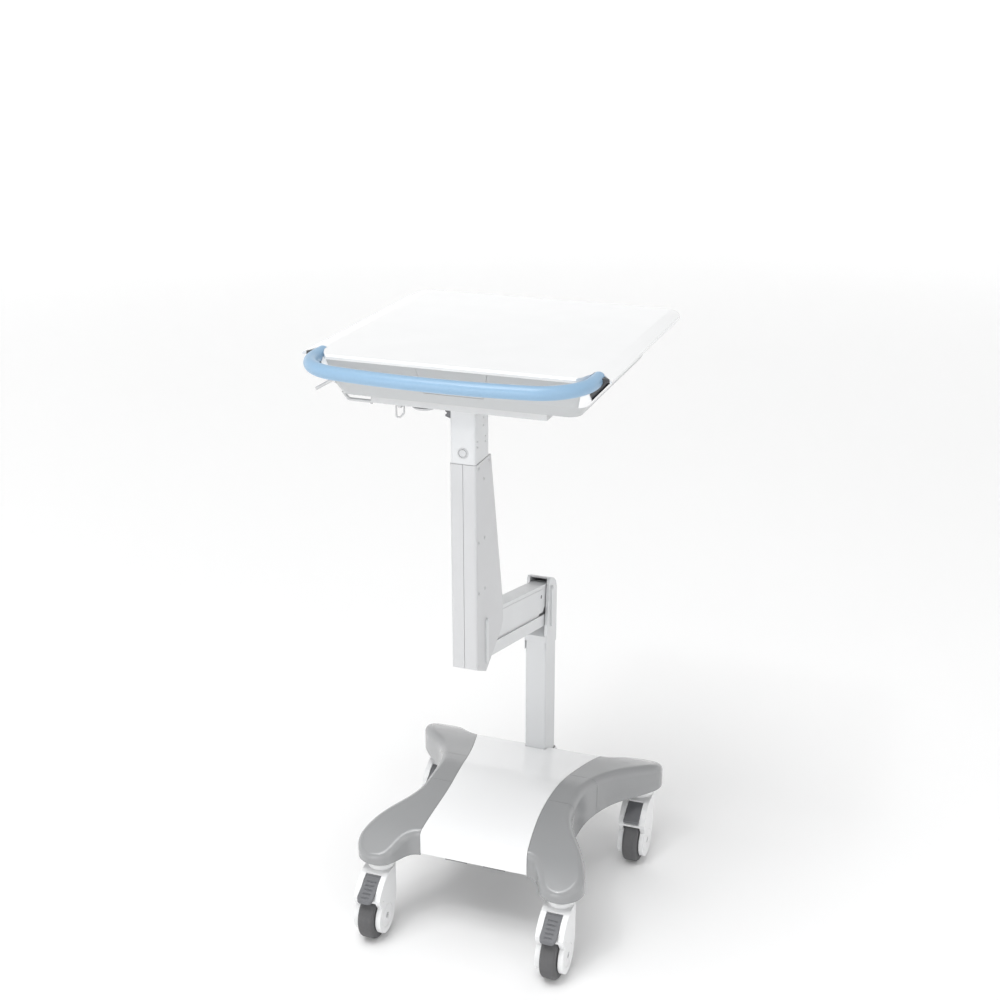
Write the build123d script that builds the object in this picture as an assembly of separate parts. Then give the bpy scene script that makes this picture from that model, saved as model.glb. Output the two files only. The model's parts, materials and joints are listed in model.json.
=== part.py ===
from build123d import *
import os
from math import atan2, cos, radians, sin

# Wheeled workstation cart with a parallel-arm lift.
# Units are millimetres. X is to the right, Y is to the rear and Z is up.
# The origin is the middle of the footprint at floor level.

# ---- overall ----
DECK_TOP = 1200.0
DECK_HALF = 280.0
HALF_LENGTH = 331.8
# the drawing below puts Y = 0 this far in front of the footprint's middle
Y_SHIFT = 24.3

# ---- casters ----
WHEEL_R = 50.0
TYRE_WIDTH = 32.0
TYRE_BORE_R = 34.0
TRAIL = 40.0
AXLE_R = 6.0
STEM_R = 8.0
NECK_R = 27.0
NECK_TOP = 149.5
HOOD_HALF = 28.0
CHEEK_R = 36.0
CHEEK_IN = 18.0
WHEEL_ROOM = 54.0
RUN = 0.05
PEDAL_SLOPE = 0.52
PEDAL_BACK = -36.0
PEDAL_BACK_Z = 134.0
PEDAL_PIN = (-39.5, 130.5)
PEDAL_PIN_R = 2.0
FRONT_X = 188.0
FRONT_Y = -175.5
REAR_X = 226.5
REAR_Y = 262.5
CASTERS = {
    "front_left": (-FRONT_X, FRONT_Y),
    "front_right": (FRONT_X, FRONT_Y),
    "rear_left": (-REAR_X, REAR_Y),
    "rear_right": (REAR_X, REAR_Y),
}

# ---- base ----
BASE_BOTTOM = 163.0
FRAME_BOTTOM = 168.0
TIP_R = 45.0
COVER_WALL = 3.0
COVER_ROUND = 15.0
SEAM = 0.35
FRONT_SEAM_Y = -5.0
REAR_SEAM_Y = 108.0
BASE_FRONT = -157.0
FOOT_HALF = 26.0
FOOT_TOP = 200.0
BASE_REAR = 246.0
# height of the arched top skin against Y, from the front tip to the rear tip
TOP_LINE = [(-240, 172), (-200, 193), (-148, 218), (-80, 236), (-5, 246), (60, 248.5),
            (110, 243), (180, 233), (246, 220), (290, 202), (325, 182)]
# half width of the white centre cover against Y
WAIST = [(113, -170), (104, -80), (102, -30), (104, 20), (113, 111), (126, 180), (145, 250)]
BASE_SCREW_R = 2.5
SCREW_HEAD = 162.2
BASE_SCREWS = [(x, y) for x in (-60, 60) for y in (-108, 30, 160)] + [(x, 270) for x in (-27, 27)]

# ---- column and head ----
COL_HALF = 22.8
COL_FRONT = 218.0
COL_REAR = 284.5
COL_TOP = 480.0
HEAD_HALF = 24.5
PLATE = 6.0
HEAD_PIVOT = (246.0, 595.0)

# ---- lift arm ----
ARM = 400.0
ARM_REST = 13.5
PIVOT_GAP = 70.0
ARM_HALF = 17.0
PIN_R = 5.0
STRIP = 3.0
WALL = 3.0
UPPER_ABOVE = 10.0
UPPER_BELOW = 49.5
LOWER_ABOVE = 12.0
LIP_RISE = 13.0
LOWER_BELOW = 13.0

# ---- mast, worked out from the arm ----
MAST_PIVOT = (HEAD_PIVOT[0] - ARM * cos(radians(ARM_REST)), HEAD_PIVOT[1] + ARM * sin(radians(ARM_REST)))
MAST_HALF = 25.0
MAST_TOP = 1004.0
MAST_FRONT = -190.0
SPINE_HALF = 21.8
SPINE_WALL = 2.8
MAST_SIDE = [(MAST_FRONT, MAST_TOP), (-115, MAST_TOP), (-58, 716), (-52, 690), (-52, 652), (-62, 636),
             (-112, 606), (-145, 586), (MAST_FRONT, 608)]
MAST_SCREWS = [(-175, 994), (-151, 969), (-124, 995), (-150, 856), (-178, 855), (-148, 756), (-179, 757)]

# ---- post ----
POST_HALF = 23.7
POST_FRONT = -189.0
POST_REAR = -121.0
STEM_HALF = 18.6
STEM_FRONT = -183.3
STEM_REAR = -125.0
STEM_BOTTOM = 850.0
BUTTON_Z = 1025.0
BUTTON_RADIUS = 6.8

# ---- deck ----
SLAB = 10.0
HULL_TOP = DECK_TOP - SLAB
DECK_FRONT = -259.0
DECK_REAR = 283.0
DECK_CORNER_R = 46.0
DECK_ROUND = 6.0
CROWN_START = 250.0
CROWN_DROP = 8.2
SKIRT = 4.0
SKIRT_GAP = 0.3
TRAY_WALL = 3.0
TRAY_BOTTOM = 1121.0
# height, half width, front, rear and front and rear corner radii of the hull under the deck
HULL_LOW = (TRAY_BOTTOM, 220, -220, 215, 22, 30)
HULL_MID = (1141, 235, -231, 231, 24, 34)
HULL_HIGH = (HULL_TOP, 280, -241, 262, 30, 42)
# the deck and hull are this much narrower on each side at the rear
REAR_TAPER = 5.0
# half width of the front panel between the skirt's returns, at two heights
PANEL_LOW = (1140, 221)
PANEL_HIGH = (1191, 233.5)
RETURN_WALL = 6.0

# ---- plate and fittings under the deck ----
PLATE_TOP = 1119.0
PLATE_BOTTOM = 1116.0
PLATE_FLANGE = 1108.0
PLATE_HALF = 162.0
PLATE_FRONT = -213.0
PLATE_REAR = 70.0
HOOK_X = -113.5
HOOK_Y = -197.0
HOOK_Z = 1103.0
HOOK_R = 1.6
CAP_X = -72.5
CAP_Y = -185.0
LEVER_X = -215.0
LEVER_Y = -244.0
LEVER_Z = 1155.0
LEVER_TIP = (-250.0, 1134.0)

# ---- release paddle ----
PADDLE_TOP = 65.0
PADDLE_LOW = 54.0
PADDLE_TOP_Z = 1186.5
PADDLE_LOW_Z = 1141.0
PADDLE_PIVOT = (-235.5, 1183.0)

# ---- handle ----
HANDLE_R = 12.0
HANDLE_WALL = 2.0
HANDLE_HALF = 251.0
HANDLE_Z = 1190.5
HANDLE_Y = -HALF_LENGTH - Y_SHIFT + HANDLE_R
HANDLE_BOW = 26.7
HANDLE_BEND = 92.0
HANDLE_END = -212.0
INSERT_SIDE = 242.0
INSERT_LOW = 1143.0
INSERT_TOP = 1196.0
INSERT_FRONT = -231.0
INSERT_REAR = -205.0


def box(x0, x1, y0, y1, z0, z1):
    size = Box(x1 - x0, y1 - y0, z1 - z0)
    return Pos((x0 + x1) / 2, (y0 + y1) / 2, (z0 + z1) / 2) * size


def rod_x(y, z, radius, x0, x1):
    bar = Cylinder(radius, x1 - x0)
    return Pos((x0 + x1) / 2, y, z) * Rot(0, 90, 0) * bar


def rod_y(x, z, radius, y0, y1):
    bar = Cylinder(radius, y1 - y0)
    return Pos(x, (y0 + y1) / 2, z) * Rot(90, 0, 0) * bar


def rod_z(x, y, radius, z0, z1):
    return Pos(x, y, (z0 + z1) / 2) * Cylinder(radius, z1 - z0)


def side_slab(points, x0, x1):
    """A flat outline in Y and Z, made x0 to x1 wide."""
    outline = Polyline([(x0, y, z) for y, z in points], close=True)
    return extrude(make_face(outline), amount=x1 - x0, dir=(1, 0, 0))


def plan_slab(points, z0, z1):
    outline = Polyline([(x, y, z0) for x, y in points], close=True)
    return extrude(make_face(outline), amount=z1 - z0, dir=(0, 0, 1))


def front_slab(points, y0, y1):
    """A flat outline in X and Z, made y0 to y1 deep."""
    outline = Polyline([(x, y0, z) for x, z in points], close=True)
    return extrude(make_face(outline), amount=y1 - y0, dir=(0, 1, 0))


def flip(shape):
    return mirror(shape, about=Plane.YZ)


def both(shape):
    return Compound(children=[*shape.solids(), *flip(shape).solids()])


def vertical_edges(shape):
    return shape.edges().filter_by(Axis.Z)


def save(shape, name):
    solids = list(shape.solids())
    whole = solids[0] if len(solids) == 1 else Compound(children=solids)
    export_step(Pos(0, Y_SHIFT, 0) * whole, f"parts/{name}.step")


# ================= casters =================

def caster_stem():
    """Swivel pin with the flange ring that seats under the leg, about its own axis."""
    ring = rod_z(0, 0, NECK_R, NECK_TOP + 0.6, BASE_BOTTOM) + rod_z(0, 0, 22, BASE_BOTTOM, FRAME_BOTTOM)
    groove = rod_z(0, 0, NECK_R + 1, 154, 155) - rod_z(0, 0, NECK_R - 0.8, 153, 156)
    pin = rod_z(0, 0, STEM_R, 128, 188)
    return ring - groove + pin


def caster_hood():
    """Plastic fork over the wheel. The swivel axis is at the origin and the wheel sits forward of it."""
    outline = [(NECK_R, NECK_TOP - 8), (NECK_R, 122), (22, 100), (8, 72), (-4, 50), (-20, 60), (-62, 76),
               (-72, 92), (-74, 101), (-66, 115), (-52, 128), (-38, 136), (-NECK_R, 140)]
    body = side_slab(outline, -HOOD_HALF, HOOD_HALF)
    body = fillet(body.edges().filter_by(Axis.X).group_by(Axis.Z)[-1], 6)
    body = body + rod_x(-TRAIL, WHEEL_R, CHEEK_R, -HOOD_HALF, HOOD_HALF)
    # the hood narrows to the round neck at its top and rear
    shape_in_plan = rod_z(0, 0, HOOD_HALF, 10, 160) + box(-HOOD_HALF, HOOD_HALF, -90, 0, 10, 160)
    body = body & shape_in_plan
    body = body + rod_z(0, 0, NECK_R, 118, NECK_TOP)
    body = body - rod_x(-TRAIL, WHEEL_R, WHEEL_ROOM, -CHEEK_IN, CHEEK_IN)
    body = body - box(-CHEEK_IN, CHEEK_IN, -100, 40, -10, WHEEL_R)
    body = body - rod_z(0, 0, STEM_R + RUN, 126, NECK_TOP + 1)
    body = body - rod_x(-TRAIL, WHEEL_R, AXLE_R, -HOOD_HALF - 1, HOOD_HALF + 1)
    for side in (-1, 1):
        face = side * HOOD_HALF
        low, high = sorted((face, face - side * 0.8))
        ring = rod_x(-TRAIL, WHEEL_R, 24.0, low, high) - rod_x(-TRAIL, WHEEL_R, 23.0, low - 1, high + 1)
        body = body - ring
        body = body - rod_x(-58, 92, 1.6, *sorted((face, face - side * 4)))
    # window for the pedal
    window = side_slab([(-35, 160), (-35, 126), (-46, 118), (-60, 108), (-100, 80), (-100, 160)], -16.6, 16.6)
    body = body - rod_x(*PEDAL_PIN, PEDAL_PIN_R + RUN, -19.2, 19.2)
    return body - window


def pedal_top(y):
    """Height of the sloping pedal face at Y, in the caster's own frame."""
    return PEDAL_BACK_Z + (y - PEDAL_BACK) * PEDAL_SLOPE


def pedal_blank(tip):
    thick = 6.5
    outline = [(PEDAL_BACK, pedal_top(PEDAL_BACK)), (tip, pedal_top(tip)), (tip, pedal_top(tip) - thick),
               (-60, pedal_top(-60) - thick), (-46, 119.5), (PEDAL_BACK, 127.5)]
    return side_slab(outline, -16, 16)


def brake_pedal():
    pedal = pedal_blank(-89)
    pedal = fillet(vertical_edges(pedal).group_by(Axis.Y)[0], 8)
    for index in range(5):
        y = -50 - 8 * index
        rib = box(-10 + index * 0.6, 10 - index * 0.6, y - 1.6, y + 1.6, 0, 1.6)
        pedal = pedal + Pos(0, 0, pedal_top(y) - 0.8) * rib
    return pedal + rod_x(*PEDAL_PIN, PEDAL_PIN_R, -18.8, 18.8)


def hood_insert():
    return pedal_blank(-79)


def wheel_hub():
    disc = rod_x(-TRAIL, WHEEL_R, TYRE_BORE_R, -14, 14)
    boss = rod_x(-TRAIL, WHEEL_R, 12, -17, 17)
    web = rod_x(-TRAIL, WHEEL_R, 29, -20, 20) - rod_x(-TRAIL, WHEEL_R, 14, -21, 21)
    recess = web - rod_x(-TRAIL, WHEEL_R, 60, -7, 7)
    return disc + boss - recess - rod_x(-TRAIL, WHEEL_R, AXLE_R + RUN, -30, 30)


def wheel_tyre():
    ring = rod_x(-TRAIL, WHEEL_R, WHEEL_R, -TYRE_WIDTH / 2, TYRE_WIDTH / 2)
    ring = fillet(ring.edges(), 7)
    return ring - rod_x(-TRAIL, WHEEL_R, TYRE_BORE_R, -30, 30)


def wheel_axle():
    return rod_x(-TRAIL, WHEEL_R, AXLE_R, -HOOD_HALF + 1, HOOD_HALF - 1)


# ================= base =================

def base_outline(inset, z0, z1):
    """The X-shaped plan of the base, moved inwards by inset and extruded."""
    tip = TIP_R - inset
    fx, fy = FRONT_X, FRONT_Y
    rx, ry = REAR_X, REAR_Y

    def on_tip(cx, cy, angle):
        return (cx + tip * cos(radians(angle)), cy + tip * sin(radians(angle)), z0)

    def heading(angle):
        return Vector(cos(radians(angle)), sin(radians(angle)), 0)

    front_mid = (0, BASE_FRONT + inset, z0)
    front_knee = (108 - inset * 0.4, BASE_FRONT + inset, z0)
    f_in = on_tip(fx, fy, 232)
    f_out = on_tip(fx, fy, 18)
    r_in = on_tip(rx, ry, -32)
    r_out = on_tip(rx, ry, 132)
    rear_knee = (128 - inset, BASE_REAR - inset, z0)
    rear_mid = (0, BASE_REAR - inset, z0)
    waist = [(190.5 - inset, -87 + inset * 0.3, z0), (165 - inset, -38, z0), (159.5 - inset, 10, z0),
             (161.5 - inset, 60, z0), (173 - inset, 108, z0), (194 - inset * 0.9, 153 + inset * 0.3, z0)]
    edges = [
        Line(front_mid, front_knee),
        Spline(front_knee, f_in, tangents=[heading(0), heading(-38)]),
        ThreePointArc(f_in, on_tip(fx, fy, 305), f_out),
        Spline(f_out, *waist, r_in, tangents=[heading(108), heading(58)]),
        ThreePointArc(r_in, on_tip(rx, ry, 50), r_out),
        Spline(r_out, rear_knee, tangents=[heading(222), heading(180)]),
        Line(rear_knee, rear_mid),
    ]
    right = [edge.edge() for edge in edges]
    left = [edge.mirror(Plane.YZ) for edge in right]
    outline = Wire(right + left)
    return extrude(Face(outline), amount=z1 - z0, dir=(0, 0, 1))


def under_skin(drop, z0):
    """Everything below the arched top skin, lowered by drop."""
    arch = Spline([(-300, y, z - drop) for y, z in TOP_LINE])
    start, end = arch @ 0, arch @ 1
    rest = Polyline(end, (-300, end.Y, z0), (-300, start.Y, z0), start)
    return extrude(make_face([arch.edge(), *rest.edges()]), amount=600, dir=(1, 0, 0))


def base_body(inset, bottom, rounding):
    body = base_outline(inset, bottom, 270) & under_skin(inset, bottom - 5)
    top = body.faces().sort_by(Axis.Z)[-1]
    return fillet(top.edges(), rounding)


def waist_region(grow, side):
    """Prism of the white centre cover: side 1 keeps the inside, -1 is used to cut the inside away."""
    right = Spline([(x + grow * side, y, 100) for x, y in WAIST])
    left = right.edge().mirror(Plane.YZ)
    first = Line(left @ 0, right @ 0)
    last = Line(right @ 1, left @ 1)
    return extrude(make_face([right.edge(), left, first.edge(), last.edge()]), amount=250, dir=(0, 0, 1))


def drill_base(shape):
    """Holes for the screws that hold the under plate to the frame."""
    for x, y in BASE_SCREWS:
        shape = shape - rod_z(x, y, BASE_SCREW_R, 150, 174)
    return shape


def base_shell():
    outer = base_body(0, BASE_BOTTOM, COVER_ROUND)
    inner = base_body(COVER_WALL, BASE_BOTTOM - 10, COVER_ROUND - COVER_WALL)
    return outer - inner


def base_cover(shell):
    cover = shell & waist_region(-SEAM, 1)
    cover = cover - box(-150, 150, BASE_FRONT - 5, BASE_FRONT + 30, 150, 167)
    notch = box(-COL_HALF - 0.6, COL_HALF + 0.6, COL_FRONT - 0.6, BASE_REAR + 10, 150, 260)
    foot_room = box(-FOOT_HALF - 2.6, FOOT_HALF + 2.6, 230, BASE_REAR + 10, 150, FOOT_TOP + 0.6)
    return cover - notch - foot_room


def leg_covers(shell):
    sides = shell - waist_region(SEAM, 1)
    bands = {
        "front": (-300, FRONT_SEAM_Y - SEAM),
        "middle": (FRONT_SEAM_Y + SEAM, REAR_SEAM_Y - SEAM),
        "rear": (REAR_SEAM_Y + SEAM, 350),
    }
    covers = {}
    for place, (y0, y1) in bands.items():
        right = sides & box(0, 300, y0, y1, 100, 300)
        covers[f"{place}_right_leg_cover"] = right
        covers[f"{place}_left_leg_cover"] = flip(right)
    return covers


def leg_arm(x, y, root_x, root_y, half, z0, z1):
    angle = atan2(y - root_y, x - root_x)
    dx, dy = -sin(angle) * half, cos(angle) * half
    points = [(root_x + dx, root_y + dy), (root_x - dx, root_y - dy), (x - dx, y - dy), (x + dx, y + dy)]
    return plan_slab(points, z0, z1)


def base_frame():
    frame = box(-72, 72, -118, 205, FRAME_BOTTOM, 192)
    frame = frame + box(-FOOT_HALF, FOOT_HALF, 195, 291, FRAME_BOTTOM, 192)
    for side in (-1, 1):
        front = leg_arm(side * FRONT_X, FRONT_Y, side * 40, -80, 17, FRAME_BOTTOM, 186)
        rear = leg_arm(side * REAR_X, REAR_Y, side * 40, 165, 17, FRAME_BOTTOM, 186)
        frame = frame + front + rear
    for x, y in CASTERS.values():
        frame = frame + rod_z(x, y, 24, FRAME_BOTTOM, 189)
    for x, y in CASTERS.values():
        frame = frame - rod_z(x, y, STEM_R, 150, 200)
    tray = box(-52, 52, -98, 150, 176, 200)
    frame = frame - tray - box(-COL_HALF, COL_HALF, COL_FRONT, COL_REAR, 172, 200)
    return drill_base(frame)


def under_plate():
    plate = base_outline(COVER_WALL, FRAME_BOTTOM - 3, FRAME_BOTTOM)
    plate = plate + box(-FOOT_HALF - 2, FOOT_HALF + 2, 200, 293, FRAME_BOTTOM - 3, FRAME_BOTTOM)
    for x, y in CASTERS.values():
        plate = plate - rod_z(x, y, NECK_R + 0.5, 150, 180)
    for side in (-1, 1):
        low, high = sorted((side * 17, side * 63))
        plate = plate + box(low, high, -146, -139, BASE_BOTTOM - 6, FRAME_BOTTOM)
    return drill_base(plate)


def base_screws():
    screws = []
    for x, y in BASE_SCREWS:
        head = rod_z(x, y, 5, SCREW_HEAD, FRAME_BOTTOM - 3)
        corners = [(x + 2.4 * cos(radians(60 * k)), y + 2.4 * sin(radians(60 * k))) for k in range(6)]
        socket = plan_slab(corners, SCREW_HEAD - 1, SCREW_HEAD + 1.8)
        shank = rod_z(x, y, BASE_SCREW_R, FRAME_BOTTOM - 4, 174)
        screws.append(head + shank - socket)
    return Compound(children=[screw.solid() for screw in screws])


# ================= column and head =================

def rounded_post(half, front, rear, z0, z1, corner):
    post = box(-half, half, front, rear, z0, z1)
    return fillet(vertical_edges(post), corner)


def column():
    outer = rounded_post(COL_HALF, COL_FRONT, COL_REAR, 172, COL_TOP, 4)
    inner = rounded_post(COL_HALF - 2.8, COL_FRONT + 2.8, COL_REAR - 2.8, 170, COL_TOP + 1, 2)
    return outer - inner


def column_foot():
    """Cast collar that clamps the column to the frame."""
    collar = box(-FOOT_HALF, FOOT_HALF, 205, 291, 192, FOOT_TOP)
    collar = fillet(vertical_edges(collar), 5)
    collar = chamfer(collar.faces().sort_by(Axis.Z)[-1].edges(), 2)
    return collar - box(-COL_HALF, COL_HALF, COL_FRONT, COL_REAR, 190, 220)


def head_bracket():
    py, pz = HEAD_PIVOT
    outline = [(216, 481), (COL_REAR - 1.5, 481), (COL_REAR - 1.5, 584), (276, 600), (262, 611.5), (238.5, 620),
               (232, 616)]
    cheeks = side_slab(outline, -HEAD_HALF, HEAD_HALF)
    cheeks = fillet(cheeks.edges().filter_by(Axis.X).group_by(Axis.Z)[-2], 8)
    slot = box(-HEAD_HALF + PLATE, HEAD_HALF - PLATE, 200, 277, 470, 640)
    bracket = cheeks - slot
    skirt = rounded_post(HEAD_HALF, 216, COL_REAR - 1.5, 460, 481, 1)
    skirt = skirt - box(-COL_HALF, COL_HALF, 200, 300, 450, 481)
    plug = rounded_post(COL_HALF - 2.8, COL_FRONT + 2.8, COL_REAR - 2.8, 440, COL_TOP, 2)
    plug = plug - box(-14, 14, 226, 276, 430, 490)
    join = box(-HEAD_HALF + 1, HEAD_HALF - 1, 222, COL_REAR - 3, COL_TOP, 482)
    join = join - box(-14, 14, 226, 276, 470, 490)
    apron = box(-HEAD_HALF + 1, HEAD_HALF - 1, 216, 219, 480.5, 494)
    floor = [(216, 490), (216, 494), (248, 509.9), (277.5, 509.9), (277.5, 506.9), (249, 506.9)]
    bracket = bracket + skirt + plug + join + apron + side_slab(floor, -HEAD_HALF + 1, HEAD_HALF - 1)
    for height in (pz, pz - PIVOT_GAP):
        bracket = bracket - rod_x(py, height, PIN_R, -40, 40)
    return bracket


def pivot_pins(y, z, half):
    pins = []
    for height in (z, z - PIVOT_GAP):
        pins.append(rod_x(y, height, PIN_R, -half, half).solid())
    return Compound(children=pins)


def tie_bars(y, z, face, drop):
    """Slim cover strips over the pivot pins, one on each side face."""
    lower = z - PIVOT_GAP - drop
    outer = face + STRIP
    strip = box(face, outer, y - 5.5, y + 5.5, lower, z)
    strip = strip + rod_x(y, z, 5.5, face, outer) + rod_x(y, lower, 5.5, face, outer)
    strip = strip + rod_x(y, z, 4.2, face, outer + 1) - rod_x(y, z, 1.8, outer, outer + 2)
    return both(strip)


def head_cap():
    """Strip that closes the top of the head between its cheeks."""
    outline = [(238.5, 620), (262, 611.5), (276.9, 599), (276.9, 595), (261, 608.4), (238.5, 616.6)]
    return side_slab(outline, -HEAD_HALF + PLATE, HEAD_HALF - PLATE)


# ================= arm =================

def along_arm(shape, y, z):
    """Turn a shape drawn along -Y from the origin to the rest slope, and put it on the pivot y, z."""
    return Pos(0, y, z) * (Rot(-ARM_REST, 0, 0) * shape)


def upper_arm():
    """Inverted channel between the upper pivots, drawn level with its head end at the origin."""
    top, low = UPPER_ABOVE, -UPPER_BELOW
    outline = [(12, top), (-ARM - 12, top), (-ARM - 14, 0), (-ARM - 12, -14), (-ARM + 20, low), (-24, low),
               (12, -14), (14, 0)]
    arm = side_slab(outline, -ARM_HALF, ARM_HALF)
    hollow = box(-ARM_HALF + WALL, ARM_HALF - WALL, -ARM + 18, -18, low - 1, top - WALL)
    arm = arm - hollow
    for y in (0, -ARM):
        arm = arm - rod_x(y, 0, PIN_R + RUN, -40, 40)
    for anchor in (-42, -ARM + 42):
        arm = arm - rod_x(anchor, -14, 4, -40, 40)
    for side in (-1, 1):
        low_x, high_x = sorted((side * (ARM_HALF - 0.8), side * (ARM_HALF + 1)))
        arm = arm - box(low_x, high_x, -ARM + 40, -34, top - 8.4, top - 7.2)
    return along_arm(arm, *HEAD_PIVOT)


def inner_lip(top):
    """Lip inside the right wall of the lower arm. It slides in the upper channel and closes the gap."""
    inside = ARM_HALF - WALL
    foot = box(inside - 3, inside + 0.2, -ARM + 55, -52, top - 8, top - 0.5)
    blade = box(inside - 3, inside - 0.6, -ARM + 55, -52, top - 2, top + LIP_RISE)
    return foot + blade


def lower_arm():
    top, low = LOWER_ABOVE, -LOWER_BELOW
    outline = [(8, top - 5), (2, top), (-ARM - 4, top), (-ARM - 10, 8), (-ARM - 10, -6), (-ARM - 4, low),
               (2, low), (10, -5)]
    arm = side_slab(outline, -ARM_HALF, ARM_HALF)
    hollow = box(-ARM_HALF + WALL, ARM_HALF - WALL, -ARM + 18, -18, low + WALL, top + 1)
    arm = arm - hollow + both(inner_lip(top))
    arm = arm - rod_x(0, 0, PIN_R + RUN, -40, 40) - rod_x(-ARM, 0, PIN_R + 0.3, -40, 40)
    return along_arm(arm, HEAD_PIVOT[0], HEAD_PIVOT[1] - PIVOT_GAP)


def gas_spring():
    """Sealed gas spring lying in the upper arm on two cross pins."""
    y0, y1 = -ARM + 42, -42
    barrel = rod_y(0, -14, 10, y0 + 12, y0 + 190)
    rod = rod_y(0, -14, 4, y0 + 185, y1)
    eyes = rod_x(y0, -14, 8, -8, 8) + rod_x(y1, -14, 8, -8, 8)
    neck = rod_y(0, -14, 5, y0, y0 + 14)
    cross = rod_x(y0, -14, 4, -ARM_HALF, ARM_HALF) + rod_x(y1, -14, 4, -ARM_HALF, ARM_HALF)
    return along_arm(barrel + rod + eyes + neck + cross, *HEAD_PIVOT)


# ================= mast =================


def mast_shell():
    """Right half of the mast cover. It meets the left half at the seam down the front."""
    shell = side_slab(MAST_SIDE, 0, MAST_HALF)
    front = shell.edges().filter_by(Axis.Z).sort_by(Axis.X)[-1]
    shell = fillet(front, 5)
    shell = shell - box(-1, SPINE_HALF + 0.1, -186.8, 0, 560, 1100)
    groove = box(-1, 0.3, -195, -180, 560, 1100)
    return shell - groove


def mast_spine():
    """Steel channel inside the mast, open to the rear where the arms enter."""
    outline = [(-186.6, 998), (-118, 998), (-66, 716), (-60, 690), (-60, 652), (-114, 611), (-145, 593),
               (-186.6, 613.4)]
    spine = side_slab(outline, -SPINE_HALF, SPINE_HALF)
    inside = SPINE_HALF - SPINE_WALL
    hollow = box(-inside, inside, -186.6 + SPINE_WALL, 0, 560, 1020)
    spine = spine - hollow
    back = side_slab([(-120.8, 998), (-118, 998), (-82, 800), (-84.8, 800)], -inside, inside)
    stop = box(-inside, inside, -183.8, -100, STEM_BOTTOM - 4.5, STEM_BOTTOM - 0.5)
    spine = spine + back + stop
    y, z = MAST_PIVOT
    for height in (z, z - PIVOT_GAP):
        spine = spine - rod_x(y, height, PIN_R, -40, 40)
    return spine


def mast_bottom_cap():
    """Plate that closes the sloping underside between the two shells."""
    return side_slab([(-186.8, 607.1), (-148, 588.2), (-148, 590.4), (-186.8, 609.3)], -SPINE_HALF, SPINE_HALF)


def mast_screws():
    screws = []
    for y, z in MAST_SCREWS:
        head = rod_x(y, z, 3.4, MAST_HALF - 1.2, MAST_HALF + 0.5) - rod_x(y, z, 1.5, MAST_HALF, MAST_HALF + 1)
        screws.append(head)
        screws.append(flip(head))
    return Compound(children=[screw.solid() for screw in screws])


def mast_shells():
    right = mast_shell()
    for y, z in MAST_SCREWS:
        right = right - rod_x(y, z, 3.4, MAST_HALF - 1.2, MAST_HALF + 1)
    y, z = MAST_PIVOT
    for height in (z, z - PIVOT_GAP):
        right = right - rod_x(y, height, PIN_R, 0, 40)
    return right


# ================= post =================

def deck_post():
    sleeve = rounded_post(POST_HALF, POST_FRONT, POST_REAR, MAST_TOP + 0.5, 1116, 4)
    stem = box(-STEM_HALF, STEM_HALF, STEM_FRONT, STEM_REAR, STEM_BOTTOM, MAST_TOP + 2)
    bore = box(-16, 16, -181, -127.5, STEM_BOTTOM - 1, 1110)
    post = sleeve + stem - bore
    post = post - rod_y(0, BUTTON_Z, BUTTON_RADIUS + RUN, -200, -175)
    pocket = rod_y(0, BUTTON_Z, BUTTON_RADIUS + 1.6, -200, POST_FRONT + 0.8)
    post = post - pocket
    for y, z in [(-148, 1082), (-148, 1068), (-138.7, 1045), (-138.7, 1035), (-177.4, 1045), (-177.4, 1035)]:
        post = post - rod_x(y, z, 1.7, -40, 40)
    return post


def post_button():
    cap = rod_y(0, BUTTON_Z, BUTTON_RADIUS, POST_FRONT - 0.6, POST_FRONT + 9)
    return fillet(cap.faces().sort_by(Axis.Y)[0].edges(), 1.2)


# ================= deck =================

def taper_at(y):
    """How much narrower the deck and hull are on each side at Y."""
    return REAR_TAPER * (y - DECK_FRONT) / (DECK_REAR - DECK_FRONT)


def plan_ring(z, half, front, rear, front_corner, rear_corner):
    """Face at height z: nearly a rectangle in plan, with round corners."""
    ahead = half - taper_at(front)
    back = half - taper_at(rear)
    outline = Polyline([(-ahead, front, z), (ahead, front, z), (back, rear, z), (-back, rear, z)], close=True)
    wire = Wire(outline.edges())
    fronts = [v for v in wire.vertices() if v.Y < 0]
    wire = wire.fillet_2d(front_corner, fronts)
    rears = [v for v in wire.vertices() if v.Y > 0 and abs(v.Y - rear) < 0.01]
    return Face(wire.fillet_2d(rear_corner, rears))


def hull_ring(section, side_inset, front_inset):
    z, half, front, rear, front_corner, rear_corner = section
    return plan_ring(z, half - side_inset, front + front_inset, rear - side_inset, front_corner, rear_corner)


def hull_upper(side_inset, front_inset):
    return loft([hull_ring(HULL_MID, side_inset, front_inset), hull_ring(HULL_HIGH, side_inset, front_inset)],
                ruled=True)


def hull_lower(side_inset, front_inset, flare):
    """The part below the skirt edge. Its top is moved in by flare as well."""
    low = hull_ring(HULL_LOW, side_inset, front_inset)
    high = hull_ring(HULL_MID, side_inset + flare, front_inset)
    return loft([low, high], ruled=True)


def front_hollow():
    """Rounded bite out of the deck's right front corner, where the handle enters."""
    points = [(218, -262), (234, -244), (243, -222), (250.5, -212), (260, -216), (272, -228), (284, -238)]
    curve = Spline(*[(x, y, HULL_TOP - 1) for x, y in points])
    rest = Polyline((284, -238, HULL_TOP - 1), (284, -262, HULL_TOP - 1), (218, -262, HULL_TOP - 1))
    return extrude(make_face([curve.edge(), *rest.edges()]), amount=SLAB + 2, dir=(0, 0, 1))


def tube_room():
    """Clearance for the ends of the handle tube at both corners."""
    room = rod_y(HANDLE_HALF, HANDLE_Z, HANDLE_R + 0.5, -260, HANDLE_END + 0.5)
    return room + flip(room)


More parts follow.
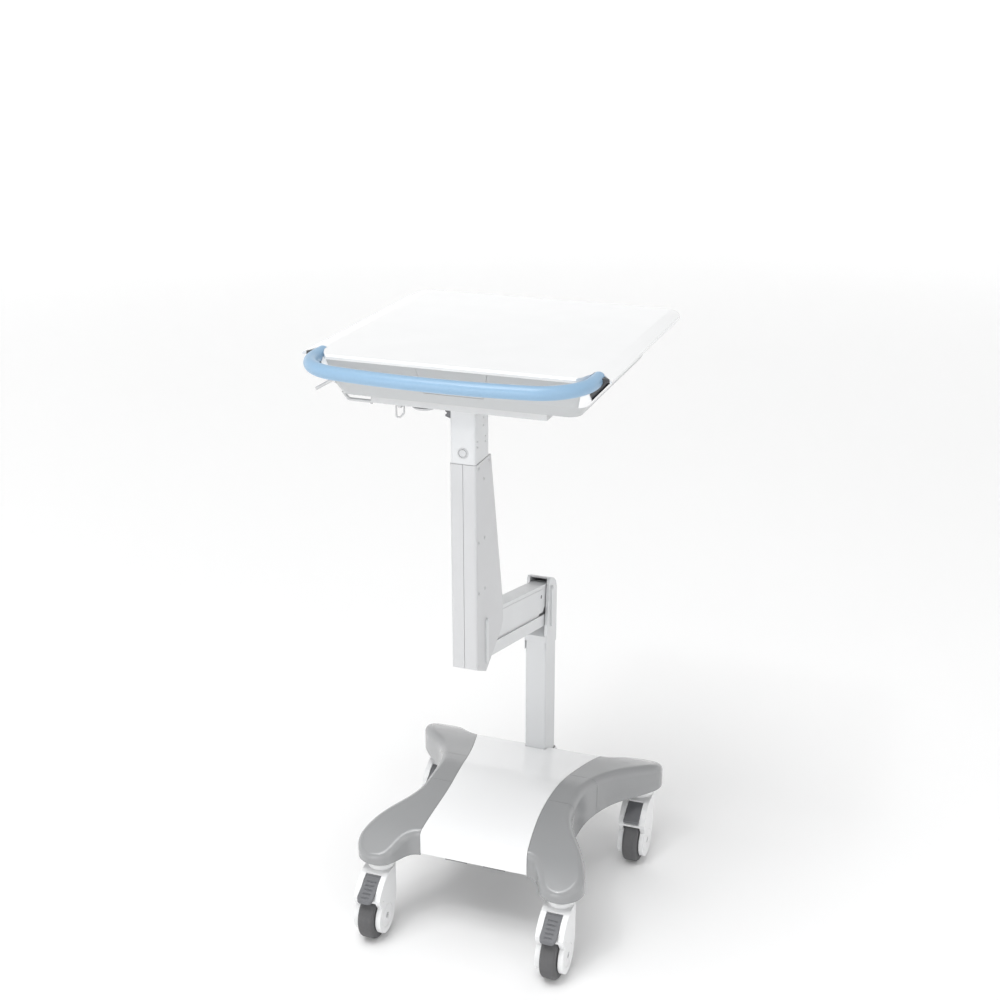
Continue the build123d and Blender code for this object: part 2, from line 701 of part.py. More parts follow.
def side_crown():
    """What the right edge of the deck loses where its top curves down to the edge."""
    crown = ThreePointArc((CROWN_START, -320, DECK_TOP), (CROWN_START + 15, -320, DECK_TOP - 1.9),
                          (DECK_HALF + 4, -320, DECK_TOP - CROWN_DROP))
    rest = Polyline((DECK_HALF + 4, -320, DECK_TOP - CROWN_DROP), (DECK_HALF + 4, -320, DECK_TOP + 5),
                    (CROWN_START, -320, DECK_TOP + 5), (CROWN_START, -320, DECK_TOP))
    return extrude(make_face([crown.edge(), *rest.edges()]), amount=640, dir=(0, 1, 0))


def deck_slab():
    """Deck board with a hollow at each front corner and sides that curve down."""
    back = DECK_HALF - REAR_TAPER
    slab = plan_slab([(-DECK_HALF, DECK_FRONT), (DECK_HALF, DECK_FRONT), (back, DECK_REAR), (-back, DECK_REAR)],
                     HULL_TOP, DECK_TOP)
    rears = [e for e in slab.edges() if e.center().Y > DECK_REAR - 1 and abs(e.center().X) > back - 1]
    slab = fillet(rears, DECK_CORNER_R)
    slab = fillet(slab.faces().sort_by(Axis.Z)[-1].edges(), DECK_ROUND)
    hollow = front_hollow()
    crown = side_crown()
    slab = slab - crown - flip(crown) - hollow - flip(hollow)
    lip = side_slab([(-262, 1189), (-251, 1189), (-262, 1199)], -300, 300)
    return slab - lip


def corner_pocket(margin):
    """Room for the handle insert at both front corners."""
    low = INSERT_SIDE - margin
    pocket = box(low, 300, -300, INSERT_REAR + margin, INSERT_LOW - margin, HULL_TOP + 1)
    return pocket + flip(pocket)


def front_panel(margin):
    """Slab in X and Z that covers the tray's front panel between the skirt's returns."""
    low_z, low_x = PANEL_LOW
    high_z, high_x = PANEL_HIGH
    low_x, high_x = low_x - margin, high_x - margin
    return front_slab([(-low_x, low_z), (low_x, low_z), (high_x, high_z), (-high_x, high_z)], -300, -150)


def deck_skirt():
    """White skirt on the sides and rear, with a short return on the front at each corner."""
    skirt = hull_upper(0, 0) - hull_upper(SKIRT, RETURN_WALL) - front_panel(0)
    skirt = skirt - (hull_upper(SKIRT, -60) & corner_pocket(0))
    return skirt & box(-300, 300, -300, 300, HULL_MID[0] + SKIRT_GAP, HULL_TOP)


def deck_top():
    return deck_slab() + deck_skirt() - tube_room()


def tray_shell():
    """Hopper under the deck between the skirts, open at the top."""
    gap = SKIRT + SKIRT_GAP
    behind = RETURN_WALL + SKIRT_GAP
    panel = hull_upper(gap, 0) & front_panel(SKIRT_GAP)
    outer = hull_lower(0, 0, gap) + hull_upper(gap, behind) + panel - corner_pocket(0.3)
    inner = hull_lower(TRAY_WALL, TRAY_WALL, gap) + hull_upper(gap + TRAY_WALL, behind + TRAY_WALL)
    inner = inner - box(-300, 300, -300, 300, 1100, TRAY_BOTTOM + TRAY_WALL) - corner_pocket(TRAY_WALL + 0.3)
    inner = inner - box(-PADDLE_TOP - 5, PADDLE_TOP + 5, -300, -222, 1100, 1200)
    tray = outer - inner
    tray = tray & box(-300, 300, -300, 300, 1100, HULL_TOP)
    return tray - tube_room() - paddle_recess() + lever_lug()


# ================= release paddle =================

def paddle_outline(grow):
    top, low = PADDLE_TOP + grow, PADDLE_LOW + grow
    return [(-top, PADDLE_TOP_Z + grow), (-low, PADDLE_LOW_Z - grow), (low, PADDLE_LOW_Z - grow),
            (top, PADDLE_TOP_Z + grow)]


def front_skin(depth_out, depth_in):
    """Layer that follows the sloping front panel, from depth_out to depth_in behind its face."""
    y0, z0 = HULL_MID[2], HULL_MID[0]
    slope = (HULL_HIGH[2] - y0) / (HULL_HIGH[0] - z0)
    low, high = 1130, 1195
    front_low = y0 + slope * (low - z0)
    front_high = y0 + slope * (high - z0)
    outline = [(front_low + depth_out, low), (front_high + depth_out, high), (front_high + depth_in, high),
               (front_low + depth_in, low)]
    return side_slab(outline, -100, 100)


def paddle_recess():
    recess = front_slab(paddle_outline(0.6), -300, -200) & front_skin(-2, 5.0)
    knuckle = rod_x(PADDLE_PIVOT[0], PADDLE_PIVOT[1], 3.6, -PADDLE_LOW, PADDLE_LOW)
    pins = rod_x(PADDLE_PIVOT[0], PADDLE_PIVOT[1], 1.5 + RUN, -PADDLE_TOP - 3, PADDLE_TOP + 3)
    return recess + knuckle + pins


def front_paddle():
    """Release paddle: hinged along its top edge, pulled towards the handle."""
    plate = front_slab(paddle_outline(0), -300, -200) & front_skin(0, 3.5)
    y, z = PADDLE_PIVOT
    barrel = rod_x(y, z, 3.0, -PADDLE_LOW + 0.5, PADDLE_LOW - 0.5)
    pins = rod_x(y, z, 1.5, -PADDLE_TOP - 2.5, PADDLE_TOP + 2.5)
    return plate + barrel + pins


# ================= handle =================

def handle_path():
    start = (HANDLE_HALF, HANDLE_END, HANDLE_Z)
    corner = (HANDLE_HALF, HANDLE_Y + HANDLE_BOW, HANDLE_Z)
    middle = (0, HANDLE_Y, HANDLE_Z)
    other = (-HANDLE_HALF, HANDLE_Y + HANDLE_BOW, HANDLE_Z)
    end = (-HANDLE_HALF, HANDLE_END, HANDLE_Z)
    wire = Wire([Line(start, corner).edge(), ThreePointArc(corner, middle, other).edge(), Line(other, end).edge()])
    bends = [v for v in wire.vertices() if v.Y < HANDLE_Y + HANDLE_BOW + 1]
    return wire.fillet_2d(HANDLE_BEND, bends)


def handle():
    path = handle_path()
    spot = Plane(origin=(HANDLE_HALF, HANDLE_END, HANDLE_Z), z_dir=(0, -1, 0))
    section = spot * (Circle(HANDLE_R) - Circle(HANDLE_R - HANDLE_WALL))
    return sweep(section, path=path)


def handle_insert():
    """Dark plug in the corner of the hull. The handle's end lies in its bore, over a short spigot."""
    block = hull_upper(SKIRT + SKIRT_GAP, 0) & box(
        INSERT_SIDE + 0.2, 300, INSERT_FRONT, INSERT_REAR - 0.2, INSERT_LOW + 0.2, HULL_TOP)
    lip = front_hollow() & box(240, 274, INSERT_FRONT, -200, HULL_TOP - 0.5, INSERT_TOP)
    block = block + (lip & box(INSERT_SIDE + 0.2, 274, -300, -200, 1180, 1200))
    block = block - rod_y(HANDLE_HALF, HANDLE_Z, HANDLE_R + 0.05, -300, HANDLE_END)
    spigot = rod_y(HANDLE_HALF, HANDLE_Z, HANDLE_R - HANDLE_WALL - 0.1, HANDLE_END - 24, HANDLE_END)
    return block + (spigot & box(240, 300, -300, -200, 1100, HULL_TOP))


def handle_inserts():
    return both(handle_insert())


# ================= fittings under the deck =================

def deck_plate():
    plate = box(-PLATE_HALF, PLATE_HALF, PLATE_FRONT, PLATE_REAR, PLATE_BOTTOM, PLATE_TOP)
    front = box(-PLATE_HALF, PLATE_HALF, PLATE_FRONT, PLATE_FRONT + 2.5, PLATE_FLANGE, PLATE_TOP)
    rear = box(-PLATE_HALF, PLATE_HALF, PLATE_REAR - 2.5, PLATE_REAR, PLATE_FLANGE, PLATE_TOP)
    side = box(PLATE_HALF - 2.5, PLATE_HALF, PLATE_FRONT, PLATE_REAR, PLATE_FLANGE, PLATE_TOP)
    plate = plate + front + rear + side + flip(side)
    for x0, x1 in [(-131, -104), (-20, 7), (91, 119)]:
        plate = plate + box(x0, x1, PLATE_FRONT, PLATE_FRONT + 30, PLATE_TOP, TRAY_BOTTOM)
        plate = plate + box(x0, x1, PLATE_REAR - 30, PLATE_REAR, PLATE_TOP, TRAY_BOTTOM)
    lug = box(HOOK_X - 3, HOOK_X + 3, HOOK_Y - 3.5, HOOK_Y + 3.5, HOOK_Z - 3.5, PLATE_BOTTOM + 1)
    lug = lug - rod_x(HOOK_Y, HOOK_Z, HOOK_R + RUN, -200, 0)
    return plate + lug


def wire_rail():
    """Bent rod from the plate's left edge out and up under the tray."""
    height = PLATE_FLANGE + 0.5
    knee_x = -PLATE_HALF - 46
    path = Wire(Polyline((-PLATE_HALF, -207, height), (knee_x, -207, height), (-219, -207, 1124)).edges())
    knee = [v for v in path.vertices() if abs(v.X - knee_x) < 1]
    path = path.fillet_2d(8, knee)
    start = Plane(origin=(-PLATE_HALF, -207, height), z_dir=path % 0)
    rail = sweep(start * Circle(3), path=path)
    return rail & box(-300, 0, -300, 0, 1000, TRAY_BOTTOM)


def cable_hook():
    """D-shaped wire loop hanging from the plate's lug."""
    half, drop = 7.5, 22.0
    x, z = HOOK_X, HOOK_Z
    path = Wire(Polyline((x - half, HOOK_Y, z), (x + half, HOOK_Y, z), (x + half, HOOK_Y, z - 13),
                         (x - 1, HOOK_Y, z - drop), (x - half, HOOK_Y, z - drop), close=True).edges())
    path = path.fillet_2d(2.6, path.vertices())
    start = Plane(origin=path @ 0, z_dir=path % 0)
    return sweep(start * Circle(HOOK_R), path=path)


def round_cap():
    stem = rod_z(CAP_X, CAP_Y, 10, 1104, PLATE_BOTTOM)
    disc = Pos(CAP_X, CAP_Y, 1102.2) * Rot(180, 0, 0) * Cone(24, 19.5, 4.8)
    return stem + disc


def cable_bracket():
    """Notched clip on the left face of the post."""
    x = -POST_HALF
    outline = [(x, 1102), (x - 9, 1102), (x - 9, 1098), (x - 5, 1095), (x - 9, 1092), (x - 9, 1089), (x, 1086)]
    return front_slab(outline, -187, -170)


def lever_lug():
    """Boss on the front panel that carries the side lever's pin."""
    boss = rod_y(LEVER_X, LEVER_Z, 4.5, LEVER_Y + 3.4, -230)
    return boss + rod_y(LEVER_X, LEVER_Z, 1.8, LEVER_Y - 3, LEVER_Y + 4)


def side_lever():
    """Short rod that points down and outwards from its pin on the front panel."""
    start = Vector(LEVER_X, LEVER_Y, LEVER_Z)
    tip = Vector(LEVER_TIP[0], LEVER_Y, LEVER_TIP[1])
    way = tip - start
    eye = rod_y(LEVER_X, LEVER_Z, 4, LEVER_Y - 3, LEVER_Y + 3)
    rod = Plane(origin=start, z_dir=way) * Pos(0, 0, way.length / 2 + 1.5) * Cylinder(3, way.length - 3)
    rod = rod + Pos(tip.X, tip.Y, tip.Z) * Sphere(3)
    return eye + rod - rod_y(LEVER_X, LEVER_Z, 1.8 + RUN, -300, -200)


# ================= export =================

def caster_parts():
    """Every caster as named pieces, each moved to its place under the base."""
    housing = caster_hood()
    hub = wheel_hub()
    tyre = wheel_tyre()
    axle = wheel_axle()
    pieces = {}
    for place, (x, y) in CASTERS.items():
        spot = Pos(x, y, 0)
        pieces[f"{place}_caster_housing"] = spot * housing
        pieces[f"{place}_wheel_axle"] = spot * axle
        pieces[f"{place}_wheel_hub"] = spot * hub
        pieces[f"{place}_tyre"] = spot * tyre
        if place.startswith("front"):
            pieces[f"{place}_brake_pedal"] = spot * brake_pedal()
        else:
            pieces[f"{place}_housing_insert"] = spot * hood_insert()
    return pieces


def base_parts():
    shell = base_shell()
    stem = caster_stem()
    pieces = leg_covers(shell)
    pieces["base_cover"] = base_cover(shell)
    pieces["base_frame"] = base_frame()
    pieces["base_under_plate"] = under_plate()
    pieces["base_screws"] = base_screws()
    pieces["caster_stems"] = Compound(children=[(Pos(x, y, 0) * stem).solid() for x, y in CASTERS.values()])
    return pieces


def column_parts():
    return {
        "column": column(),
        "column_foot": column_foot(),
        "head_bracket": head_bracket(),
        "head_cap": head_cap(),
        "head_pivot_pins": pivot_pins(*HEAD_PIVOT, HEAD_HALF),
        "head_tie_bars": tie_bars(*HEAD_PIVOT, HEAD_HALF, 12),
    }


def arm_parts():
    return {"upper_arm": upper_arm(), "lower_arm": lower_arm(), "gas_spring": gas_spring()}


def mast_parts():
    right = mast_shells()
    return {
        "mast_right_shell": right,
        "mast_left_shell": flip(right),
        "mast_spine": mast_spine(),
        "mast_bottom_cap": mast_bottom_cap(),
        "mast_pivot_pins": pivot_pins(*MAST_PIVOT, MAST_HALF),
        "mast_tie_bars": tie_bars(*MAST_PIVOT, MAST_HALF, 12),
        "mast_screws": mast_screws(),
    }


def deck_parts():
    return {
        "deck_post": deck_post(),
        "post_button": post_button(),
        "deck_plate": deck_plate(),
        "deck_top": deck_top(),
        "tray_shell": tray_shell(),
        "front_paddle": front_paddle(),
        "handle": handle(),
        "handle_inserts": handle_inserts(),
        "side_lever": side_lever(),
        "wire_rail": wire_rail(),
        "cable_hook": cable_hook(),
        "round_cap": round_cap(),
        "cable_bracket": cable_bracket(),
    }


if __name__ == "__main__":
    os.makedirs("parts", exist_ok=True)
    for group in (base_parts(), caster_parts(), column_parts(), arm_parts(), mast_parts(), deck_parts()):
        for name, shape in group.items():
            save(shape, name)
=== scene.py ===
import json
from math import cos, pi, radians, sin

import bmesh
import bpy
from mathutils import Matrix, Vector


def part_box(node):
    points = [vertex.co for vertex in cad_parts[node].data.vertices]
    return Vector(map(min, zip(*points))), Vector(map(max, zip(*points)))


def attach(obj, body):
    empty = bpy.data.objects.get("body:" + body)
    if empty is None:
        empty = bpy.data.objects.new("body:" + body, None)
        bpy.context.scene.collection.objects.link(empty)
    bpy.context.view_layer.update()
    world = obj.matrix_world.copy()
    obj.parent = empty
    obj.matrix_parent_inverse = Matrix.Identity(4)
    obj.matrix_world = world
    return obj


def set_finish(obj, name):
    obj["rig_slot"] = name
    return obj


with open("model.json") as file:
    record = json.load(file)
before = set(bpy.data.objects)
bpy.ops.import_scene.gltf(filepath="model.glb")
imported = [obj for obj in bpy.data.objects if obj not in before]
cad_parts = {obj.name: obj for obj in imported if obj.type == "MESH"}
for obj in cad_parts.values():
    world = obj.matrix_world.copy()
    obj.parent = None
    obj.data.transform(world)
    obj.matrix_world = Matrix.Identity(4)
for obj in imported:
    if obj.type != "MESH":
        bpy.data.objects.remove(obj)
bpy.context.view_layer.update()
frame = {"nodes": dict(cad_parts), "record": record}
RECORD = frame["record"]
MM = 0.001

# The post's stem below its sleeve, in mm: half width, distance behind the sleeve's face, and depth.
STEM_HALF = 18.6
STEM_SETBACK = 5.7
STEM_DEPTH = 58.3

# Radii of the rail's wire and of the screw heads, in mm.
RAIL_R = 3.0
PLATE_SCREW_R = 4.2
AXLE_BOLT_R = 4.6


# ---------------------------------------------------------------- materials

class Graph:
    """Small helper that adds shader nodes to one material and links them."""

    def __init__(self, name):
        self.material = bpy.data.materials.new(name)
        self.material.use_nodes = True
        self.tree = self.material.node_tree
        self.tree.nodes.clear()
        self.shader = self.add("ShaderNodeBsdfPrincipled")
        output = self.add("ShaderNodeOutputMaterial")
        self.link(self.shader.outputs["BSDF"], output.inputs["Surface"])
        self.place = self.add("ShaderNodeTexCoord").outputs["Object"]

    def add(self, kind, **settings):
        node = self.tree.nodes.new(kind)
        for key, value in settings.items():
            setattr(node, key, value)
        return node

    def link(self, source, target):
        self.tree.links.new(source, target)

    def stretched(self, scale):
        node = self.add("ShaderNodeMapping")
        node.inputs["Scale"].default_value = scale
        self.link(self.place, node.inputs["Vector"])
        return node.outputs["Vector"]

    def noise(self, scale, detail=2.0, rough=0.5, distortion=0.0, where=None):
        node = self.add("ShaderNodeTexNoise")
        node.inputs["Scale"].default_value = scale
        node.inputs["Detail"].default_value = detail
        node.inputs["Roughness"].default_value = rough
        node.inputs["Distortion"].default_value = distortion
        self.link(where or self.place, node.inputs["Vector"])
        return node.outputs["Fac"]

    def span(self, value, from_low, from_high, to_low, to_high):
        node = self.add("ShaderNodeMapRange")
        node.inputs["From Min"].default_value = from_low
        node.inputs["From Max"].default_value = from_high
        node.inputs["To Min"].default_value = to_low
        node.inputs["To Max"].default_value = to_high
        self.link(value, node.inputs["Value"])
        return node.outputs["Result"]

    def math(self, operation, a, b):
        node = self.add("ShaderNodeMath", operation=operation)
        for socket, value in zip(node.inputs, (a, b)):
            if isinstance(value, (int, float)):
                socket.default_value = value
            else:
                self.link(value, socket)
        return node.outputs["Value"]

    def mix(self, factor, a, b):
        node = self.add("ShaderNodeMix", data_type="RGBA")
        for name, value in (("Factor_Float", factor), ("A_Color", a), ("B_Color", b)):
            socket = next(s for s in node.inputs if s.identifier == name)
            if isinstance(value, (tuple, int, float)):
                socket.default_value = value
            else:
                self.link(value, socket)
        return next(s for s in node.outputs if s.identifier == "Result_Color")

    def bump(self, height, strength, distance, normal=None):
        node = self.add("ShaderNodeBump")
        node.inputs["Strength"].default_value = strength
        node.inputs["Distance"].default_value = distance
        self.link(height, node.inputs["Height"])
        if normal:
            self.link(normal, node.inputs["Normal"])
        return node.outputs["Normal"]


def tone(color, factor):
    return tuple(min(1.0, channel * factor) for channel in color) + (1.0,)


def surface(name, color, rough, grain, metallic=0.0, coat=0.0, patch=0.03, wear=0.0, wear_tone=1.25,
            edge=0.6, smudge=0.06, specular=0.5, fine=None):
    """A moulded or coated surface: soft patches of tone, grain, smudges in the gloss and worn edges.

    grain is (cells per metre, strength, depth in metres).
    """
    g = Graph(name)
    shader = g.shader
    shader.inputs["Metallic"].default_value = metallic
    shader.inputs["Coat Weight"].default_value = coat
    shader.inputs["Coat Roughness"].default_value = 0.12
    shader.inputs["Specular IOR Level"].default_value = specular

    rounded = g.add("ShaderNodeBevel", samples=4)
    rounded.inputs["Radius"].default_value = edge * MM
    geometry = g.add("ShaderNodeNewGeometry")
    dot = g.add("ShaderNodeVectorMath", operation="DOT_PRODUCT")
    g.link(rounded.outputs["Normal"], dot.inputs[0])
    g.link(geometry.outputs["Normal"], dot.inputs[1])
    corner = g.span(dot.outputs["Value"], 0.985, 0.88, 0.0, 1.0)
    scuffs = g.span(g.noise(160.0, 4.0, 0.7), 0.48, 0.62, 0.0, 1.0)
    worn = g.math("MULTIPLY", corner, g.math("MULTIPLY", scuffs, wear))

    patches = g.span(g.noise(5.0, 1.0, 0.4), 0.2, 0.8, 0.0, 1.0)
    body = g.mix(patches, tone(color, 1.0 - patch), tone(color, 1.0 + patch))
    specks = g.span(g.noise(fine or grain[0] * 0.6, 2.0), 0.35, 0.65, 0.0, 1.0)
    body = g.mix(g.math("MULTIPLY", specks, 0.3), body, tone(color, 1.0 - 2.2 * patch))
    body = g.mix(worn, body, tone(color, wear_tone))
    g.link(body, shader.inputs["Base Color"])

    smears = g.noise(14.0, 3.0, 0.5, 0.2)
    gloss = g.span(smears, 0.2, 0.8, max(0.02, rough - smudge), rough + smudge)
    gloss = g.math("ADD", gloss, g.math("MULTIPLY", worn, 0.18))
    g.link(gloss, shader.inputs["Roughness"])

    scale, strength, depth = grain
    height = g.noise(scale, 3.0, 0.6)
    normal = g.bump(height, strength, depth, rounded.outputs["Normal"])
    g.link(normal, shader.inputs["Normal"])
    return g


def brushed(name, color, rough, along):
    """Drawn bright steel with fine lines along one axis."""
    g = surface(name, color, rough, (900.0, 0.05, 0.05 * MM), metallic=1.0, wear=0.2, edge=0.25)
    stretch = tuple(60.0 if axis == along else 2400.0 for axis in "XYZ")
    lines = g.noise(1.0, 2.0, 0.5, 0.0, g.stretched(stretch))
    g.link(g.span(lines, 0.3, 0.7, rough - 0.08, rough + 0.12), g.shader.inputs["Roughness"])
    return g


def speckled_coat(name, color, rough):
    """Soft-touch coat on the handle, with a fine orange peel and slight mottling."""
    return surface(name, color, rough, (520.0, 0.22, 0.12 * MM), patch=0.035, wear=0.25, wear_tone=1.12,
                   edge=0.4, coat=0.15, fine=240.0)


def rubber(name, color):
    """Grey tyre rubber: matt, slightly dusty, with fine scuffs round the tread."""
    g = surface(name, color, 0.62, (1500.0, 0.32, 0.1 * MM), patch=0.08, wear=0.5, wear_tone=1.35, edge=0.8,
                smudge=0.1, specular=0.3)
    dust = g.span(g.noise(90.0, 6.0, 0.75, 1.2), 0.5, 0.72, 0.0, 0.22)
    body = g.shader.inputs["Base Color"].links[0].from_socket
    g.link(g.mix(dust, body, tone(color, 1.7)), g.shader.inputs["Base Color"])
    return g


LIGHT_GREY = (0.66, 0.67, 0.68)
SURFACES = {
    "white_gloss_plastic": surface("white_gloss", (0.88, 0.885, 0.89), 0.17, (650.0, 0.05, 0.06 * MM),
                                   coat=0.35, patch=0.008, wear=0.25, wear_tone=0.88, edge=0.9, smudge=0.05),
    "tray_plastic": surface("tray_grey", (0.50, 0.51, 0.515), 0.36, (1300.0, 0.16, 0.1 * MM), patch=0.012,
                            wear=0.3, wear_tone=1.12, edge=0.7),
    "grey_cover_plastic": surface("cover_grey", (0.30, 0.305, 0.31), 0.24, (1100.0, 0.10, 0.06 * MM),
                                  coat=0.4, patch=0.012, wear=0.3, wear_tone=1.25, edge=1.0, smudge=0.03),
    "silver_plastic": surface("silver_plastic", (0.58, 0.585, 0.595), 0.36, (1500.0, 0.14, 0.08 * MM),
                              patch=0.018, wear=0.35, wear_tone=1.18, edge=0.7, metallic=0.12),
    "silver_paint": surface("silver_paint", LIGHT_GREY, 0.34, (820.0, 0.2, 0.1 * MM), patch=0.015, wear=0.35,
                            wear_tone=1.16, edge=0.7, metallic=0.15),
    "blue_paint": speckled_coat("handle_blue", (0.27, 0.43, 0.60), 0.36),
    "frame_steel": surface("frame_steel", (0.16, 0.165, 0.17), 0.42, (700.0, 0.25, 0.12 * MM), metallic=0.3,
                           patch=0.06, wear=0.6, wear_tone=2.2),
    "plate_steel": surface("plate_steel", (0.58, 0.585, 0.59), 0.38, (900.0, 0.22, 0.1 * MM), metallic=0.3,
                           patch=0.02, wear=0.5, wear_tone=1.25, edge=0.5),
    "bright_steel": brushed("bright_steel", (0.60, 0.60, 0.61), 0.27, "X"),
    "spring_body": surface("spring_black", (0.025, 0.025, 0.027), 0.3, (800.0, 0.15, 0.08 * MM), coat=0.2,
                           patch=0.1, wear=0.4, wear_tone=5.0, edge=0.5),
    "caster_plastic": surface("caster_white", (0.84, 0.845, 0.85), 0.33, (1400.0, 0.16, 0.08 * MM),
                              patch=0.012, wear=0.5, wear_tone=0.85, edge=0.6),
    "pedal_plastic": surface("pedal_grey", (0.155, 0.158, 0.168), 0.42, (1500.0, 0.26, 0.12 * MM),
                             patch=0.05, wear=0.7, wear_tone=1.6, edge=0.5),
    "dark_plastic": surface("insert_dark", (0.055, 0.057, 0.061), 0.34, (1500.0, 0.2, 0.1 * MM), patch=0.06,
                            wear=0.4, wear_tone=2.0, edge=0.5),
    "hub_plastic": surface("hub_grey", (0.50, 0.505, 0.51), 0.4, (1400.0, 0.2, 0.1 * MM), patch=0.03,
                           wear=0.4),
    "tyre_rubber": rubber("tyre_rubber", (0.115, 0.115, 0.118)),
}

SLOTS = {row["node"]: row["material_slot"] for row in RECORD["subparts"]}


def paint(piece, slot):
    """Gives a CAD node or a mesh piece the material of its slot."""
    piece.data.materials.clear()
    piece.data.materials.append(SURFACES[slot].material)
    piece["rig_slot"] = slot


for node, piece in frame["nodes"].items():
    paint(piece, SLOTS[node])


# ---------------------------------------------------------------- mesh pieces

def circle(center, u, v, radius, count=64):
    return [center + u * (radius * cos(2 * pi * i / count)) + v * (radius * sin(2 * pi * i / count))
            for i in range(count)]


def polygon(center, u, v, radius, sides, count=48):
    """A loop with count points along a regular polygon, to join to a round loop of the same count."""
    points = []
    for i in range(count):
        turn = 2 * pi * i / count
        part = turn % (2 * pi / sides) - pi / sides
        reach = radius * cos(pi / sides) / cos(part)
        points.append(center + u * (reach * cos(turn)) + v * (reach * sin(turn)))
    return points


def round_rect(center, half_x, half_y, corner, steps=6):
    points = []
    for sx, sy, start in ((1, 1, 0.0), (-1, 1, pi / 2), (-1, -1, pi), (1, -1, 1.5 * pi)):
        middle = center + Vector((sx * (half_x - corner), sy * (half_y - corner), 0))
        for i in range(steps + 1):
            turn = start + (pi / 2) * i / steps
            points.append(middle + Vector((corner * cos(turn), corner * sin(turn), 0)))
    return points


def skin(name, loops, ring, smooth_angle=35.0):
    """Joins loops of equal count into one closed mesh: a ring, or a solid with a face at each end."""
    mesh = bmesh.new()
    rows = [[mesh.verts.new(point) for point in loop] for loop in loops]
    pairs = list(zip(rows, rows[1:]))
    if ring:
        pairs.append((rows[-1], rows[0]))
    for low, high in pairs:
        for i in range(len(low)):
            j = (i + 1) % len(low)
            mesh.faces.new((low[i], low[j], high[j], high[i]))
    if not ring:
        mesh.faces.new(list(reversed(rows[0])))
        mesh.faces.new(rows[-1])
    bmesh.ops.recalc_face_normals(mesh, faces=mesh.faces)
    data = bpy.data.meshes.new(name)
    mesh.to_mesh(data)
    mesh.free()
    piece = bpy.data.objects.new(name, data)
    bpy.context.scene.collection.objects.link(piece)
    for face in data.polygons:
        face.use_smooth = True
    data.set_sharp_from_angle(angle=radians(smooth_angle))
    return piece


def finish_piece(piece, body, slot):
    paint(piece, slot)
    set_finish(piece, slot)
    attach(piece, body)
    return piece


AXES = {"X": (Vector((0, 1, 0)), Vector((0, 0, 1)), Vector((1, 0, 0))),
        "Y": (Vector((0, 0, 1)), Vector((1, 0, 0)), Vector((0, 1, 0))),
        "Z": (Vector((1, 0, 0)), Vector((0, 1, 0)), Vector((0, 0, 1)))}


def turned_ring(name, center, axis, profile, body, slot):
    """A ring turned round an axis. The profile gives (radius, distance along the axis) in mm."""
    u, v, along = AXES[axis]
    loops = [circle(center + along * (h * MM), u, v, r * MM) for r, h in profile]
    return finish_piece(skin(name, loops, True), body, slot)


def socket_screw(name, center, axis, sign, head, body):
    """A low domed screw head with a hexagonal socket. head is its radius in mm."""
    u, v, along = AXES[axis]
    along = along * sign
    loops = []
    for part, height in ((0.86, 0.0), (1.0, 0.15), (1.0, 0.45), (0.93, 0.75), (0.78, 0.98), (0.6, 1.08)):
        loops.append(circle(center + along * (height * MM), u, v, head * part * MM, 48))
    loops.append(polygon(center + along * (1.08 * MM), u, v, head * 0.5 * MM, 6))
    loops.append(polygon(center + along * (0.3 * MM), u, v, head * 0.46 * MM, 6))
    return finish_piece(skin(name, loops, False), body, "bright_steel")


def rect_gasket(name, low, high, outer, inner, z0, z1, corner, body, slot):
    """A soft rectangular lip between the outer and inner offsets (mm) from a box seen from above."""
    center = Vector(((low.x + high.x) / 2, (low.y + high.y) / 2, 0))
    half_x, half_y = (high.x - low.x) / 2, (high.y - low.y) / 2
    round_off = min(0.8, (z1 - z0) / 3)
    loops = []
    for offset, z in ((outer, z0), (outer, z1 - round_off), (outer - round_off, z1), (inner + round_off, z1),
                      (inner, z1 - round_off), (inner, z0)):
        middle = center + Vector((0, 0, z * MM))
        loops.append(round_rect(middle, half_x + offset * MM, half_y + offset * MM, (corner + offset) * MM))
    return finish_piece(skin(name, loops, True), body, slot)


def build_mast_mouth_shade():
    """Dark lip that fills the mast's mouth round the sliding stem: painted shade for the gap where the sleeve
    sits on the mast.
    """
    post_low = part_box("deck_post")[0]
    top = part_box("mast_left_shell")[1].z / MM
    stem_low = Vector((-STEM_HALF * MM, post_low.y + STEM_SETBACK * MM, 0))
    stem_high = Vector((STEM_HALF * MM, stem_low.y + STEM_DEPTH * MM, 0))
    # The dark plastic here is painted shade, a dark line in the gap under the sleeve.
    rect_gasket("mast_mouth_shade", stem_low, stem_high, 2.9, 0.35, top - 5.0, top - 0.4, 1.0, "mast",
                "dark_plastic")


def build_column_seal():
    """Thin soft lip where the column stands in the base cover."""
    low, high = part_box("column")
    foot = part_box("column_foot")[1].z / MM
    rect_gasket("column_seal", low, high, 1.8, 0.0, foot - 0.2, foot + 1.8, 4.0, "base", "dark_plastic")


def build_plate_screws():
    """Screws that hold the deck plate up to the tray, seen from below."""
    low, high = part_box("deck_plate")
    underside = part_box("deck_post")[1].z
    spots = [(x, y) for x in (0.12, 0.5, 0.88) for y in (0.08, 0.92)]
    for number, (x, y) in enumerate(spots, 1):
        place = Vector((low.x + (high.x - low.x) * x, low.y + (high.y - low.y) * y, underside))
        socket_screw(f"plate_screw_{number}", place, "Z", -1, PLATE_SCREW_R, "deck")


def build_rail_collar():
    """Pressed collar where the wire rail leaves the deck plate."""
    plate_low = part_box("deck_plate")[0]
    rail_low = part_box("wire_rail")[0]
    center = Vector((plate_low.x, rail_low.y + RAIL_R * MM, rail_low.z + RAIL_R * MM))
    profile = [(RAIL_R, 0.0), (5.0, 0.0), (5.0, -2.4), (4.4, -3.2), (RAIL_R, -3.2)]
    turned_ring("rail_collar", center, "X", profile, "deck", "plate_steel")


